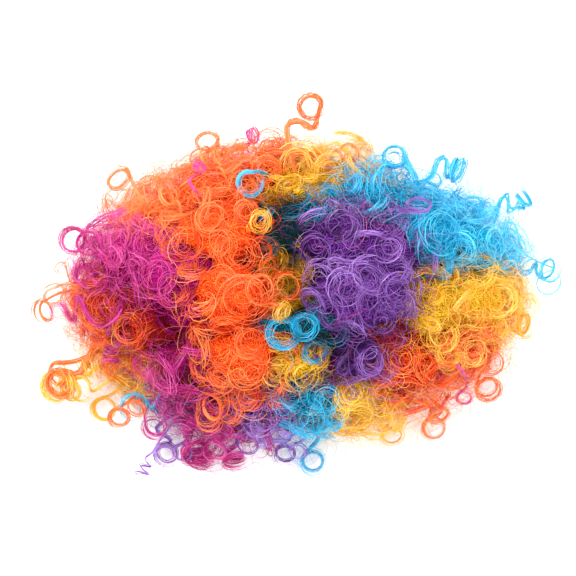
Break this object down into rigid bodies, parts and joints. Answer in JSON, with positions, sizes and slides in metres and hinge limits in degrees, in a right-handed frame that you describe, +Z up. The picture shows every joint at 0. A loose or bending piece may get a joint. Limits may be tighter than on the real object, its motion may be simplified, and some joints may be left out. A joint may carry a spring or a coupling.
{
  "type": "curly clown wig",
  "caption": "Rainbow clown wig of tightly curled fibre in patches of orange, magenta, yellow, blue and purple, sewn to an elastic-hemmed cap and lying opening down.",
  "frame": {"origin": "centre of the oval head opening, in the plane of the band's lower edge, which is the table that the wig lies on", "axes": "+X along the opening's long way, towards the blue and yellow end, +Y along its short way, towards the side with the upright orange curl, +Z up out of the crown"},
  "size_m": [0.3541, 0.2576, 0.1274],
  "materials": {
    "cap_knit": "knitted stretch polyester, matt, dark",
    "elastic": "ribbed woven elastic, matt, dark",
    "hair_orange": "curled synthetic fibre, satin sheen, orange",
    "hair_magenta": "curled synthetic fibre, satin sheen, magenta",
    "hair_yellow": "curled synthetic fibre, satin sheen, golden yellow",
    "hair_blue": "curled synthetic fibre, satin sheen, sky blue",
    "hair_purple": "curled synthetic fibre, satin sheen, purple"
  },
  "bodies": {
    "root": {"cap": "cap_knit", "elastic_band": "elastic", "hair_orange_crown": "hair_orange", "hair_purple_crown": "hair_purple", "hair_blue_parting": "hair_blue", "hair_yellow_parting": "hair_yellow", "hair_yellow_centre": "hair_yellow", "hair_blue_centre": "hair_blue", "hair_orange_back": "hair_orange", "hair_yellow_back": "hair_yellow", "hair_blue_right": "hair_blue", "hair_yellow_right": "hair_yellow", "hair_orange_right": "hair_orange", "hair_yellow_front": "hair_yellow", "hair_blue_front": "hair_blue", "hair_purple_front": "hair_purple", "hair_magenta_front": "hair_magenta", "hair_purple_side": "hair_purple", "hair_yellow_left": "hair_yellow", "hair_orange_left": "hair_orange", "hair_magenta_left": "hair_magenta"}
  },
  "joints": []
}
